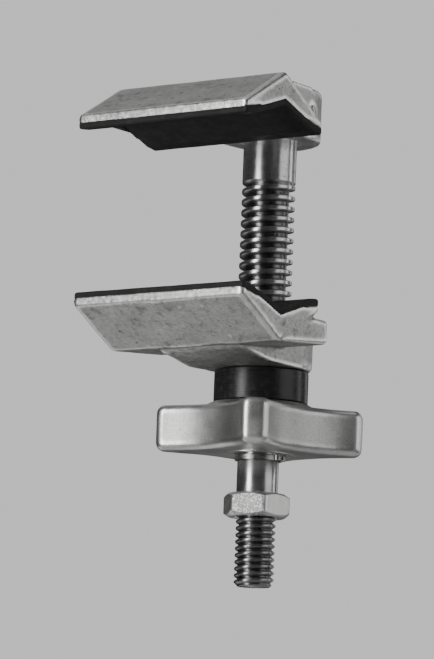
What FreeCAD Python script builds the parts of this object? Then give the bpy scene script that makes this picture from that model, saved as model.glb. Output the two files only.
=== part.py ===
import FreeCAD, Part
import math
import os
import Sketcher

# Stud-mounted vee-jaw clamp. The screw stands on the Z axis with the end of its stud at the
# origin. The jaws' vees run along X, in front of the screw (towards -Y). All sizes in mm.

doc = FreeCAD.newDocument("VeeJawClamp")
dims = doc.addObject("Spreadsheet::Sheet", "Dims")

SIZES = {
    # Jaws: one vee section, used facing up (lower jaw) and facing down (upper jaw)
    "vee_length": 49.0,
    "vee_middle": -27.1,
    "vee_half": 15.3,
    "slope_half": 11.4,
    "vee_outer_rise": 2.6,
    "slope_rise": 4.1,
    "vee_inner_rise": 4.7,
    "lower_apex": 59.3,
    "upper_apex": 109.7,
    "lower_metal": 6.3,
    "upper_metal": 6.7,
    "lower_shift": 0.0,
    "upper_shift": -0.9,
    "liner_metal": 1.4,
    "liner_margin": 0.2,
    "ridge_round": 1.6,
    "tip_round": 0.7,
    "rim_round": 1.4,
    # Block that carries each vee on the screw
    "lower_back": 8.5,
    "upper_back": 9.0,
    "block_front": 3.7,
    "boss_radius": 12.0,
    "web_step": -13.0,
    "web_bend": -17.5,
    "web_slope": -22.0,
    "web_end": -25.9,
    "web_bend_rise": 0.45,
    "web_slope_rise": 1.1,
    "web_rise": 1.9,
    "web_root": 4.4,
    "rail_back": -7.9,
    "rail_low": -4.3,
    "rail_high": 1.4,
    "rail_depth": 6.0,
    "rail_inset": 0.6,
    # Screw
    "screw_radius": 6.35,
    "screw_top": 118.3,
    "bar_chamfer": 0.8,
    "thread_lead": 1.6,
    "thread_depth": 1.4,
    "thread_pitch": 2.54,
    "thread_root_flat": 0.94,
    "thread_start": 31.4,
    "thread_end": 96.2,
    "shank_radius": 4.9,
    "stud_radius": 4.7,
    "stud_length": 22.2,
    "stud_pitch": 1.5875,
    "stud_depth": 0.95,
    "stud_full": 16.2,
    "stud_relief": 0.08,
    "keyway_width": 3.2,
    "keyway_floor": 4.8,
    "keyway_low": 53.0,
    "keyway_high": 103.0,
    "bore_play": 0.06,
    "seat_play": 0.03,
    # Stop ring in its groove below the thread
    "stop_low": 29.7,
    "stop_metal": 1.1,
    "stop_radius": 5.6,
    "stop_groove": 4.4,
    "stop_turn": 10.0,
    "ear_radius": 0.85,
    "ear_apart": 1.25,
    "eye_radius": 0.35,
    "ring_gap": 1.2,
    "groove_play": 0.1,
    # Jam nut
    "nut_low": 16.3,
    "nut_metal": 5.56,
    "nut_flats": 14.3,
    "nut_turn": 19.1,
    "nut_face": 6.65,
    "nut_play": 0.08,
    "nut_bore_chamfer": 0.6,
    # Knob and its threaded hub
    "knob_low": 31.2,
    "knob_high": 42.1,
    "knob_hub": 43.1,
    "knob_radius": 24.4,
    "knob_turn": 32.8,
    "scoop_radius": 27.0,
    "scoop_middle": 41.6,
    "knob_round": 1.7,
    "hub_radius": 8.0,
    "neck_radius": 7.5,
    "flange_radius": 8.7,
    "flange_low": 52.6,
    "flange_high": 54.6,
    "hub_thread_top": 46.0,
    # Pieces between knob and lower jaw
    "sleeve_radius": 11.15,
    "sleeve_inner": 7.8,
    "sleeve_low": 43.3,
    "sleeve_chamfer": 0.35,
    "pocket_radius": 9.0,
    "pocket_high": 56.0,
    "clip_low": 51.3,
    "clip_metal": 1.0,
    "clip_groove": 9.8,
    "clip_inner": 7.8,
    "washer_low": 54.8,
    "washer_play": 0.15,
    "washer_chamfer": 0.15,
    # Guide screw behind the lower bore, and cross pin through the upper block
    "guide_rise": 0.3,
    "guide_radius": 2.5,
    "guide_head": 11.3,
    "guide_tip": 5.0,
    "pin_high": 112.6,
    "pin_radius": 1.6,
    "pin_half": 11.7,
    "pin_eye": 0.85,
    "pin_slot": 0.5,
}

SIDES = {"lower": 1, "upper": -1}  # which way each jaw's vee opens

for row, (alias, number) in enumerate(SIZES.items(), start=1):
    dims.set(f"A{row}", alias)
    dims.set(f"B{row}", str(number))
    dims.setAlias(f"B{row}", alias)
doc.recompute()


class Size:
    """A number together with the sheet expression that gives it."""

    def __init__(self, value, text):
        self.value = value
        self.text = text

    def __add__(self, other):
        other = size(other)
        return Size(self.value + other.value, f"({self.text} + {other.text})")

    def __sub__(self, other):
        other = size(other)
        return Size(self.value - other.value, f"({self.text} - {other.text})")

    def __mul__(self, other):
        other = size(other)
        return Size(self.value * other.value, f"({self.text} * {other.text})")

    def __neg__(self):
        return Size(-self.value, f"(0 - {self.text})")


def size(source):
    """The sheet's value of that name, or a plain number, as a Size."""
    if isinstance(source, Size):
        return source
    if isinstance(source, str):
        return Size(float(getattr(dims, source)), f"Dims.{source}")
    return Size(float(source), repr(float(source)))


def bind(thing, prop, source):
    thing.setExpression(prop, size(source).text)


# --- sketches and features -------------------------------------------------------------------

def new_body(name):
    body = doc.addObject("PartDesign::Body", name)
    body.Label = name
    return body


def new_sketch(body, name, role, offset=None):
    """An empty sketch on one of the body's own planes, moved along that plane's normal."""
    sketch = body.newObject("Sketcher::SketchObject", f"{body.Name}_{name}")
    plane = [feature for feature in body.Origin.OriginFeatures if feature.Role == role][0]
    sketch.AttachmentSupport = [(plane, "")]
    sketch.MapMode = "FlatFace"
    if offset is not None:
        bind(sketch, "AttachmentOffset.Base.z", offset)
    return sketch


def place_point(sketch, index, end, x, y):
    """Hold one point of the sketch at x, y from its origin."""
    for kind, axis, place in (("DistanceX", -2, size(x)), ("DistanceY", -1, size(y))):
        if abs(place.value) < 1e-9:
            sketch.addConstraint(Sketcher.Constraint("PointOnObject", index, end, axis))
            continue
        if place.value > 0:
            rule = Sketcher.Constraint(kind, -1, 1, index, end, place.value)
        else:
            place = -place
            rule = Sketcher.Constraint(kind, index, end, -1, 1, place.value)
        number = sketch.addConstraint(rule)
        sketch.setExpression(f"Constraints[{number}]", place.text)


def draw_outline(sketch, points):
    """A closed outline of straight edges through the points."""
    corners = [FreeCAD.Vector(size(x).value, size(y).value, 0) for x, y in points]
    count = len(corners)
    for index in range(count):
        sketch.addGeometry(Part.LineSegment(corners[index], corners[(index + 1) % count]), False)
    for index in range(count):
        sketch.addConstraint(Sketcher.Constraint("Coincident", index, 2, (index + 1) % count, 1))
    for index, (x, y) in enumerate(points):
        place_point(sketch, index, 1, x, y)


def draw_circle(sketch, x, y, radius):
    radius = size(radius)
    centre = FreeCAD.Vector(size(x).value, size(y).value, 0)
    index = sketch.addGeometry(Part.Circle(centre, FreeCAD.Vector(0, 0, 1), radius.value), False)
    place_point(sketch, index, 3, x, y)
    number = sketch.addConstraint(Sketcher.Constraint("Radius", index, radius.value))
    sketch.setExpression(f"Constraints[{number}]", radius.text)


def feature(body, kind, name, profile=None):
    made = body.newObject(f"PartDesign::{kind}", f"{body.Name}_{name}")
    if profile is not None:
        made.Profile = profile
    return made


def pad_section(body, name, points, length, shift=None):
    """A side section in the YZ plane, made solid the same way to both sides of X = shift."""
    sketch = new_sketch(body, f"{name}_section", "YZ_Plane", shift)
    draw_outline(sketch, points)
    pad = feature(body, "Pad", name, sketch)
    pad.Midplane = True
    bind(pad, "Length", length)
    return pad


def turn_section(body, name, points, kind="Revolution"):
    """A half section in the XZ plane, turned once round the Z axis."""
    sketch = new_sketch(body, f"{name}_section", "XZ_Plane")
    draw_outline(sketch, points)
    doc.recompute()
    turned = feature(body, kind, name, sketch)
    turned.ReferenceAxis = (sketch, ["V_Axis"])
    turned.Angle = 360
    doc.recompute()
    return turned


def cross_hole(body, name, height, radius):
    """A round hole along X through the Z axis at that height."""
    sketch = new_sketch(body, f"{name}_section", "YZ_Plane")
    draw_circle(sketch, 0, height, radius)
    hole = feature(body, "Pocket", name, sketch)
    hole.Midplane = True
    bind(hole, "Length", size("boss_radius") * 3)
    doc.recompute()
    return hole


def round_edges(body, name, radius, wanted):
    """Round the tip feature's edges that the test picks out."""
    doc.recompute()
    base = body.Tip
    names = [f"Edge{number}" for number, edge in enumerate(base.Shape.Edges, start=1) if wanted(edge)]
    rounding = feature(body, "Fillet", name)
    rounding.Base = (base, names)
    bind(rounding, "Radius", radius)
    doc.recompute()
    return rounding


def along(edge, axis):
    """True for a straight edge that runs along the X, Y or Z axis."""
    if edge.Curve.TypeId != "Part::GeomLine":
        return False
    direction = edge.Curve.Direction
    return abs(getattr(direction, axis)) > 0.999


ACME_SLOPE = math.tan(math.radians(14.5))
VEE_SLOPE = math.tan(math.radians(30))


def cut_thread(body, name, root, outer, pitch, root_flat, slope, start, height):
    """A helical groove, from its root radius out past the outer radius.

    slope is how fast half the groove widens from its root outwards.
    """
    widen = (size(outer) - root) * slope
    half = size(root_flat) * 0.5
    sketch = new_sketch(body, f"{name}_section", "XZ_Plane")
    draw_outline(sketch, [
        (root, size(start) - half),
        (root, size(start) + half),
        (outer, size(start) + half + widen),
        (outer, size(start) - half - widen),
    ])
    doc.recompute()
    groove = feature(body, "SubtractiveHelix", name, sketch)
    groove.ReferenceAxis = (sketch, ["V_Axis"])
    groove.Mode = 0
    bind(groove, "Pitch", pitch)
    bind(groove, "Height", height)
    groove.LeftHanded = False
    groove.Reversed = False
    groove.Angle = 0
    doc.recompute()
    return groove


def turn_about_z(piece, angle):
    spin = FreeCAD.Rotation(FreeCAD.Vector(0, 0, 1), size(angle).value)
    piece.Placement = FreeCAD.Placement(FreeCAD.Vector(), spin)


# --- jaws ------------------------------------------------------------------------------------

def level(jaw, rise):
    """A height measured from that jaw's inner apex towards the vee's mouth."""
    return size(f"{jaw}_apex") + size(rise) * SIDES[jaw]


def vee_section(jaw):
    middle = size("vee_middle")
    ridge = level(jaw, -size(f"{jaw}_metal"))
    outer = level(jaw, "vee_outer_rise")
    inner = level(jaw, "vee_inner_rise")
    slope_end = level(jaw, "slope_rise")
    return [
        (middle, ridge),
        (middle - "vee_half", outer),
        (middle - "vee_half", inner),
        (middle - "slope_half", slope_end),
        (middle, f"{jaw}_apex"),
        (middle + "slope_half", slope_end),
        (middle + "vee_half", inner),
        (middle + "vee_half", outer),
    ]


def web_section(jaw):
    """The block's side view from the screw's axis forward to the vee's ridge."""
    back = -size(f"{jaw}_back")
    middle = size("vee_middle")
    return [
        (0, level(jaw, back)),
        ("web_step", level(jaw, back)),
        ("web_bend", level(jaw, back + "web_bend_rise")),
        ("web_slope", level(jaw, back + "web_slope_rise")),
        ("web_end", level(jaw, back + "web_rise")),
        (middle, level(jaw, -size("web_root"))),
        (middle + "slope_half", level(jaw, "block_front")),
        (0, level(jaw, "block_front")),
    ]


def rail_section(jaw):
    """The lower jaw's thick heel, which fills the wedge behind its ridge."""
    front = size("vee_middle")
    back = size("rail_back")
    return [
        (front + "rail_inset", level(jaw, size("rail_inset") * 0.4 - f"{jaw}_metal")),
        (back, level(jaw, "rail_low")),
        (back, level(jaw, "rail_high")),
        (back - "rail_depth", level(jaw, "rail_high")),
        (front + "rail_depth", f"{jaw}_apex"),
    ]


def round_vee(body, jaw):
    """Round the plain vee's ridge and the four long edges of its tips."""
    middle = size("vee_middle").value
    half = size("vee_half").value
    ridge = level(jaw, -size(f"{jaw}_metal")).value

    def is_ridge(edge):
        return along(edge, "x") and abs(edge.CenterOfMass.z - ridge) < 0.05

    def is_tip(edge):
        return along(edge, "x") and abs(abs(edge.CenterOfMass.y - middle) - half) < 0.05

    round_edges(body, "ridge", "ridge_round", is_ridge)
    round_edges(body, "tips", "tip_round", is_tip)


def jaw_blank(jaw, heel):
    body = new_body(f"{jaw}_jaw")
    shift = size(f"{jaw}_shift")
    pad_section(body, "vee", vee_section(jaw), "vee_length", shift)
    round_vee(body, jaw)
    if heel:
        pad_section(body, "heel", rail_section(jaw), "vee_length", shift)
    pad_section(body, "web", web_section(jaw), size("boss_radius") * 2)
    doc.recompute()
    low = level(jaw, -size(f"{jaw}_back"))
    high = level(jaw, "block_front")
    turn_section(body, "boss", [(0, low), ("boss_radius", low), ("boss_radius", high), (0, high)])

    def is_rim(edge):
        spot = edge.CenterOfMass
        return edge.Curve.TypeId == "Part::GeomCircle" and abs(spot.z - low.value) < 0.05 and spot.y > 5

    round_edges(body, "rim", "rim_round", is_rim)
    return body


def make_upper_jaw():
    body = jaw_blank("upper", heel=False)
    low = level("upper", size("block_front") + 1)
    high = level("upper", -(size("upper_back") + 1))
    wall = size("screw_radius") + "seat_play"
    turn_section(body, "bore", [(0, low), (wall, low), (wall, high), (0, high)], "Groove")
    cross_hole(body, "pin_hole", "pin_high", size("pin_radius") + "seat_play")
    return body


def make_lower_jaw():
    body = jaw_blank("lower", heel=True)
    low = level("lower", -(size("lower_back") + 1))
    high = level("lower", size("block_front") + 1)
    wall = size("screw_radius") + "bore_play"
    groove_low = size("clip_low") - "groove_play"
    groove_high = size("clip_low") + "clip_metal" + "groove_play"
    turn_section(body, "bore", [
        (0, low),
        ("pocket_radius", low),
        ("pocket_radius", groove_low),
        ("clip_groove", groove_low),
        ("clip_groove", groove_high),
        ("pocket_radius", groove_high),
        ("pocket_radius", "pocket_high"),
        (wall, "pocket_high"),
        (wall, high),
        (0, high),
    ], "Groove")
    sketch = new_sketch(body, "guide_section", "XZ_Plane")
    draw_circle(sketch, 0, level("lower", "guide_rise"), size("guide_radius") + "seat_play")
    hole = feature(body, "Pocket", "guide_hole", sketch)
    bind(hole, "Length", size("boss_radius") * 1.5)
    doc.recompute()
    return body


def make_liner(jaw):
    """The rubber facing of one vee, which also covers the flat lands at its tips."""
    body = new_body(f"{jaw}_jaw_liner")
    middle = size("vee_middle")
    margin = size("liner_margin")
    half = size("vee_half") - margin
    near = [
        (middle - half, size("vee_inner_rise")),
        (middle - "slope_half", size("slope_rise")),
        (middle, size(0)),
        (middle + "slope_half", size("slope_rise")),
        (middle + half, size("vee_inner_rise")),
    ]
    inner = [(y, level(jaw, rise)) for y, rise in near]
    outer = [(y, level(jaw, rise + "liner_metal")) for y, rise in reversed(near)]
    pad_section(body, "facing", inner + outer, size("vee_length") - margin * 2, size(f"{jaw}_shift"))
    doc.recompute()
    return body


# --- screw -----------------------------------------------------------------------------------

def make_screw():
    body = new_body("clamp_screw")
    groove_low = size("stop_low") - "groove_play"
    groove_high = size("stop_low") + "stop_metal" + "groove_play"
    chamfer = size("bar_chamfer")
    relief = size("stud_radius") - "stud_relief"
    turn_section(body, "blank", [
        (0, 0),
        (size("stud_radius") - chamfer, 0),
        ("stud_radius", chamfer),
        ("stud_radius", "stud_full"),
        (relief, "stud_full"),
        (relief, size("stud_length") - chamfer * 0.5),
        ("shank_radius", "stud_length"),
        ("shank_radius", groove_low),
        ("stop_groove", groove_low),
        ("stop_groove", groove_high),
        ("shank_radius", groove_high),
        ("shank_radius", "thread_start"),
        ("screw_radius", size("thread_start") + chamfer * 1.5),
        ("screw_radius", size("screw_top") - chamfer),
        (size("screw_radius") - chamfer, "screw_top"),
        (0, "screw_top"),
    ])
    root = size("screw_radius") - "thread_depth"
    cut_thread(body, "acme_thread", root, size("screw_radius") + 0.5, "thread_pitch",
               "thread_root_flat", ACME_SLOPE, size("thread_start") - "thread_lead",
               size("thread_end") - "thread_start" + "thread_lead")
    cut_thread(body, "stud_thread", size("stud_radius") - "stud_depth", size("stud_radius") + 0.3,
               "stud_pitch", 0.2, VEE_SLOPE, -1.2, size("stud_length") - 0.4)
    keyway = new_sketch(body, "keyway_section", "XZ_Plane", -size("keyway_floor"))
    half = size("keyway_width") * 0.5
    draw_outline(keyway, [
        (-half, "keyway_low"),
        (half, "keyway_low"),
        (half, "keyway_high"),
        (-half, "keyway_high"),
    ])
    slot = feature(body, "Pocket", "keyway", keyway)
    bind(slot, "Length", size("screw_radius") - "keyway_floor" + 1)
    doc.recompute()
    cross_hole(body, "pin_hole", "pin_high", size("pin_radius") + "seat_play")
    return body


def make_stop_ring():
    """An external circlip: a thin ring, open at one side between two drilled ears."""
    metal = size("stop_metal")

    def cylinder(label, radius):
        made = doc.addObject("Part::Cylinder", f"stop_ring_{label}")
        bind(made, "Radius", radius)
        bind(made, "Height", metal)
        bind(made, "Placement.Base.z", "stop_low")
        return made

    def pair(label, radius):
        """The same cylinder in both ears."""
        made = [cylinder(f"{label}_a", radius), cylinder(f"{label}_b", radius)]
        for ear, side in zip(made, (1, -1)):
            bind(ear, "Placement.Base.x", "stop_radius")
            bind(ear, "Placement.Base.y", size("ear_apart") * side)
        return made

    solid = doc.addObject("Part::MultiFuse", "stop_ring_solid")
    solid.Shapes = [cylinder("disc", "stop_radius")] + pair("ear", "ear_radius")
    gap = doc.addObject("Part::Box", "stop_ring_gap")
    bind(gap, "Length", size("stop_radius") * 2)
    bind(gap, "Width", "ring_gap")
    bind(gap, "Height", metal * 2)
    bind(gap, "Placement.Base.y", size("ring_gap") * -0.5)
    bind(gap, "Placement.Base.z", size("stop_low") - metal * 0.5)
    empty = doc.addObject("Part::MultiFuse", "stop_ring_empty")
    empty.Shapes = [cylinder("hole", size("stop_groove") + "nut_play"), gap] + pair("eye", "eye_radius")
    ring = doc.addObject("Part::Cut", "stop_ring")
    ring.Base = solid
    ring.Tool = empty
    ring.Label = "stop_ring"
    turn_about_z(ring, "stop_turn")
    doc.recompute()
    return ring


def make_jam_nut():
    body = new_body("jam_nut")
    sketch = new_sketch(body, "hexagon", "XY_Plane", "nut_low")
    corner = size("nut_flats") * (1 / math.sqrt(3))
    angles = [math.radians(60 * step) for step in range(6)]
    draw_outline(sketch, [(corner * math.cos(angle), corner * math.sin(angle)) for angle in angles])
    pad = feature(body, "Pad", "block", sketch)
    bind(pad, "Length", "nut_metal")
    doc.recompute()
    wall = size("stud_radius") + "nut_play"
    low = size("nut_low")
    high = low + "nut_metal"
    chamfer = size("nut_bore_chamfer")
    turn_section(body, "bore", [
        (0, low - chamfer),
        (wall + chamfer * 2, low - chamfer),
        (wall, low + chamfer),
        (wall, high - chamfer),
        (wall + chamfer * 2, high + chamfer),
        (0, high + chamfer),
    ], "Groove")
    rim = corner + 0.5
    drop = (rim - "nut_face") * VEE_SLOPE
    for tag, face, side in (("lower", low, 1), ("upper", high, -1)):
        turn_section(body, f"{tag}_chamfer", [
            ("nut_face", face - side * 0.3),
            ("nut_face", face),
            (rim, face + drop * side),
            (rim, face - side * 0.3),
        ], "Groove")
    turn_about_z(body, "nut_turn")
    return body


def make_cross_pin():
    """A rolled spring pin: a thick tube along X, open along one side."""
    def cylinder(label, radius, longer):
        made = doc.addObject("Part::Cylinder", f"cross_pin_{label}")
        length = size("pin_half") * 2 + size(longer) * 2
        bind(made, "Radius", radius)
        bind(made, "Height", length)
        made.Placement = FreeCAD.Placement(FreeCAD.Vector(), FreeCAD.Rotation(FreeCAD.Vector(0, 1, 0), 90))
        bind(made, "Placement.Base.x", -(size("pin_half") + longer))
        bind(made, "Placement.Base.z", "pin_high")
        return made

    slot = doc.addObject("Part::Box", "cross_pin_slot")
    bind(slot, "Length", size("pin_half") * 2 + 2)
    bind(slot, "Width", "pin_slot")
    bind(slot, "Height", "pin_radius")
    bind(slot, "Placement.Base.x", -(size("pin_half") + 1))
    bind(slot, "Placement.Base.z", size("pin_high") + 0.3)
    bind(slot, "Placement.Base.y", size("pin_slot") * -0.5)
    hollow = doc.addObject("Part::Fuse", "cross_pin_hollow")
    hollow.Base = cylinder("eye", "pin_eye", 1)
    hollow.Tool = slot
    pin = doc.addObject("Part::Cut", "jaw_cross_pin")
    pin.Base = cylinder("wire", "pin_radius", 0)
    pin.Tool = hollow
    pin.Label = "jaw_cross_pin"
    doc.recompute()
    return pin


# --- knob, its hub and what lies between it and the lower jaw --------------------------------

def make_knob():
    body = new_body("knob")
    turn_section(body, "disc", [
        ("hub_radius", "knob_low"),
        ("knob_radius", "knob_low"),
        ("knob_radius", "knob_high"),
        (size("sleeve_radius") + 2.2, "knob_high"),
        (size("sleeve_radius") + 0.4, "knob_hub"),
        ("hub_radius", "knob_hub"),
    ])
    sketch = new_sketch(body, "scoop_section", "XY_Plane", size("knob_low") - 1)
    place = size("scoop_middle") * math.cos(math.radians(45))
    draw_circle(sketch, place, place, "scoop_radius")
    scoop = feature(body, "Pocket", "scoop", sketch)
    scoop.Reversed = True
    bind(scoop, "Length", size("knob_hub") - "knob_low" + 2)
    doc.recompute()
    whole = body.newObject("PartDesign::PolarPattern", "knob_scoops")
    whole.Originals = [scoop]
    whole.Axis = (sketch, ["N_Axis"])
    whole.Angle = 360
    whole.Occurrences = 4
    body.Tip = whole
    doc.recompute()
    low = size("knob_low").value
    high = size("knob_high").value
    inner = size("sleeve_radius").value + 3

    def is_grip(edge):
        spot = edge.CenterOfMass
        away = math.hypot(spot.x, spot.y) > inner
        flat = edge.BoundBox.ZLength < 0.01 and min(abs(spot.z - low), abs(spot.z - high)) < 0.01
        return away and (flat or along(edge, "z"))

    round_edges(body, "grip", "knob_round", is_grip)
    turn_about_z(body, "knob_turn")
    return body


def make_knob_nut():
    """The turned hub: threaded inside the knob, flanged at the top inside the lower jaw."""
    body = new_body("knob_nut")
    minor = size("screw_radius") - "thread_depth" + 0.1
    clear = size("screw_radius") + 0.12
    thread_top = size("hub_thread_top")
    turn_section(body, "blank", [
        (minor + 0.8, "knob_low"),
        (size("hub_radius") - 0.02, "knob_low"),
        (size("hub_radius") - 0.02, "knob_hub"),
        ("neck_radius", "knob_hub"),
        ("neck_radius", "flange_low"),
        ("flange_radius", "flange_low"),
        ("flange_radius", "flange_high"),
        (clear, "flange_high"),
        (clear, thread_top + 1.4),
        (minor, thread_top),
        (minor, size("knob_low") + 0.8),
    ])
    tooth = size("thread_pitch") - "thread_root_flat"
    crest = tooth - size("thread_depth") * (2 * ACME_SLOPE)
    start = size("thread_start") - "thread_lead" - size("thread_pitch") * 0.5
    outer = size("screw_radius") + 0.1
    inner = minor - 0.4
    sketch = new_sketch(body, "thread_section", "XZ_Plane")
    half_outer = crest * 0.5 + 0.08
    half_inner = half_outer + (outer - inner) * ACME_SLOPE
    draw_outline(sketch, [
        (outer, start - half_outer),
        (outer, start + half_outer),
        (inner, start + half_inner),
        (inner, start - half_inner),
    ])
    doc.recompute()
    groove = feature(body, "SubtractiveHelix", "thread", sketch)
    groove.ReferenceAxis = (sketch, ["V_Axis"])
    groove.Mode = 0
    bind(groove, "Pitch", "thread_pitch")
    bind(groove, "Height", thread_top - start + 2.8)
    groove.Angle = 0
    doc.recompute()
    return body


def make_tube(name, inner, outer, low, high, chamfer):
    """A plain turned ring with its outer edges broken."""
    body = new_body(name)
    low, high, outer, chamfer = (size(each) for each in (low, high, outer, chamfer))
    turn_section(body, "ring", [
        (inner, low),
        (outer - chamfer, low),
        (outer, low + chamfer),
        (outer, high - chamfer),
        (outer - chamfer, high),
        (inner, high),
    ])
    return body


def make_clip():
    """An internal ring in the lower jaw's pocket that keeps the hub's flange in."""
    body = new_body("retaining_ring")
    sketch = new_sketch(body, "ring_section", "XY_Plane", "clip_low")
    draw_circle(sketch, 0, 0, size("clip_groove") - 0.08)
    draw_circle(sketch, 0, 0, "clip_inner")
    pad = feature(body, "Pad", "ring", sketch)
    bind(pad, "Length", "clip_metal")
    doc.recompute()
    gap = new_sketch(body, "gap_section", "XY_Plane", size("clip_low") - 0.5)
    draw_outline(gap, [(-1.5, 4), (1.5, 4), (1.5, 12), (-1.5, 12)])
    cut = feature(body, "Pocket", "gap", gap)
    cut.Reversed = True
    bind(cut, "Length", size("clip_metal") + 1)
    doc.recompute()
    return body


def make_guide_screw():
    """A socket set screw with a dog point that rides in the screw's keyway."""
    body = new_body("guide_screw")
    height = size("lower_apex") + "guide_rise"
    dog = size("keyway_width") * 0.5 - 0.1
    for name, radius, start, end in (
        ("dog", dog, size("guide_tip"), size("screw_radius") + 0.6),
        ("shank", size("guide_radius"), size("screw_radius") + 0.6, size("guide_head")),
    ):
        sketch = new_sketch(body, f"{name}_section", "XZ_Plane", -size(start))
        draw_circle(sketch, 0, height, radius)
        pad = feature(body, "Pad", name, sketch)
        pad.Reversed = True
        bind(pad, "Length", size(end) - start)
        doc.recompute()
    sketch = new_sketch(body, "socket_section", "XZ_Plane", -size("guide_head"))
    corners = [math.radians(60 * step) for step in range(6)]
    reach = 1.45
    draw_outline(sketch, [(reach * math.cos(a), height + reach * math.sin(a)) for a in corners])
    socket = feature(body, "Pocket", "socket", sketch)
    socket.Reversed = True
    socket.Length = 2.2
    doc.recompute()
    return body


# --- build, check and write ------------------------------------------------------------------

def all_pieces():
    return [
        make_screw(),
        make_upper_jaw(),
        make_liner("upper"),
        make_cross_pin(),
        make_stop_ring(),
        make_jam_nut(),
        make_lower_jaw(),
        make_liner("lower"),
        make_guide_screw(),
        make_tube("thrust_sleeve", "sleeve_inner", "sleeve_radius", "sleeve_low",
                  size("lower_apex") - "lower_back", "sleeve_chamfer"),
        make_tube("thrust_washer", size("screw_radius") + "washer_play",
                  size("pocket_radius") - "washer_play", "washer_low", "pocket_high", "washer_chamfer"),
        make_clip(),
        make_knob(),
        make_knob_nut(),
    ]


pieces = all_pieces()
doc.recompute()
for thing in doc.Objects:
    if "Invalid" in thing.State or "Error" in thing.State:
        raise RuntimeError(f"{thing.Name} failed: {thing.State}")
for piece in pieces:
    if piece.Shape.isNull() or not piece.Shape.isValid() or not piece.Shape.Solids:
        raise RuntimeError(f"{piece.Label} has no valid solid")

os.makedirs("parts", exist_ok=True)
for piece in pieces:
    piece.Shape.exportStep(f"parts/{piece.Label}.step")
    box = piece.Shape.BoundBox
    print(f"{piece.Label:18s} solids {len(piece.Shape.Solids)}  volume {piece.Shape.Volume:9.1f}"
          f"  z {box.ZMin:6.1f} to {box.ZMax:6.1f}")
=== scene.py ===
import math

import bmesh
import bpy
import numpy as np
from mathutils import Matrix, Quaternion, Vector, noise


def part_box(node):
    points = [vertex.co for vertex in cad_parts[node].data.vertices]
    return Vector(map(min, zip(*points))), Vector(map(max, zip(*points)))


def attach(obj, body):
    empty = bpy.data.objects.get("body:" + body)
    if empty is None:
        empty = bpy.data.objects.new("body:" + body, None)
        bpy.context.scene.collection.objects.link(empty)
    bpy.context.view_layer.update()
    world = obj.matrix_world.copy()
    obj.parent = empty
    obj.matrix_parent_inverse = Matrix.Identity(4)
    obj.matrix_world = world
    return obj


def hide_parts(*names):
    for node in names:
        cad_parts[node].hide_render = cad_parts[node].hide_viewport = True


# A stud-mounted screw clamp with two vee jaws. The screw stands on the Z axis and the jaws reach
# towards -Y. Lengths are in mm in this script; new_object turns them into metres.

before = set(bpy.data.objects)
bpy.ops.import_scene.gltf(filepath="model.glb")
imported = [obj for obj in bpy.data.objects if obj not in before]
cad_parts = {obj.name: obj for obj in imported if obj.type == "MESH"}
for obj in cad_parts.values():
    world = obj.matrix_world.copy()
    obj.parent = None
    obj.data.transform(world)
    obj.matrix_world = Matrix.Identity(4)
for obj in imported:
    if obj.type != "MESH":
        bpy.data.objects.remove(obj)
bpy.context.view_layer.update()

MM = 0.001
TURN = 2 * math.pi


def node_box(node):
    """Lowest and highest corner of a CAD node, in mm."""
    low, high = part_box(node)
    return Vector(low) / MM, Vector(high) / MM


# --- sizes -----------------------------------------------------------------------------------

SKIN = 0.12                                      # room left for a casting's unevenness
FIT = 0.03                                       # room between a hole and what fills it
OVERRUN = 2.0                                    # how far a cutter reaches past its piece
OUTER_RISE = 2.6
INNER_RISE = 4.7
SLOPE_HALF = 11.4
SLOPE_RISE = 4.1
BLOCK_FRONT = 3.7
WEB_STEP = -13.0
WEB_RUN = 11.0
WEB_RISE = 1.9
WEB_ROUND = 6.0
WEB_END_ROUND = 0.45
BOSS_BACK_ROUND = 1.4
BOSS_FRONT_ROUND = 0.6
HEEL_BACK = -7.9
HEEL_LOW = -4.3
HEEL_HIGH = 1.4
HEEL_RUN = 6.0
HEEL_INSET = 0.6
HEEL_ROUND = 0.9
RIDGE_ROUND = 1.5
TIP_ROUND = 0.75
LIP_ROUND = 0.25
END_ROUND = 1.1
LINER_METAL = 1.4
LINER_MARGIN = 0.2
LINER_SUNK = 0.6


class Jaw:
    """One jaw's place. Rises are measured from its vee's inner apex towards the other jaw.

    lumps is how much rougher than the rest the back of its block is.
    """

    def __init__(self, name, side, metal, lumps):
        low, high = node_box(name)
        liner_low, liner_high = node_box(f"{name}_liner")
        self.name = name
        self.side = side
        self.metal = metal - SKIN
        self.lumps = lumps
        self.apex = liner_low.z if side > 0 else liner_high.z
        self.back = (self.apex - low.z if side > 0 else high.z - self.apex) - SKIN
        self.low_end = low.x + SKIN
        self.high_end = high.x - SKIN
        self.block_half = high.y - SKIN
        self.middle = (liner_low.y + liner_high.y) / 2
        self.half_span = self.middle - low.y - SKIN

    def corner(self, y, rise, radius):
        return (y, self.apex + self.side * rise, radius)


UPPER = Jaw("upper_jaw", side=-1, metal=6.7, lumps=0.5)
LOWER = Jaw("lower_jaw", side=1, metal=6.3, lumps=2.6)

SCREW_TOP = node_box("clamp_screw")[1].z
SCREW_RADIUS = 6.35
ACME_PITCH = 2.54
ACME_DEPTH = 1.4
ACME_LOW = 31.4
ACME_HIGH = 96.2
ACME_ROOT = 0.94
ACME_FLANK = math.radians(14.5)
SHANK_RADIUS = 4.9
STUD_RADIUS = 4.7
STUD_HIGH = 22.2
STUD_PITCH = 1.5875
STUD_DEPTH = 0.72
STUD_ROOT = 0.3
STUD_FLANK = math.radians(30)
BAR_CHAMFER = 0.9
RING_GROOVE_DEPTH = 0.5
KEYWAY_HALF = 1.6
KEYWAY_LOW = 53.0
KEYWAY_HIGH = 103.0
KEYWAY_FLOOR = 4.8

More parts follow.
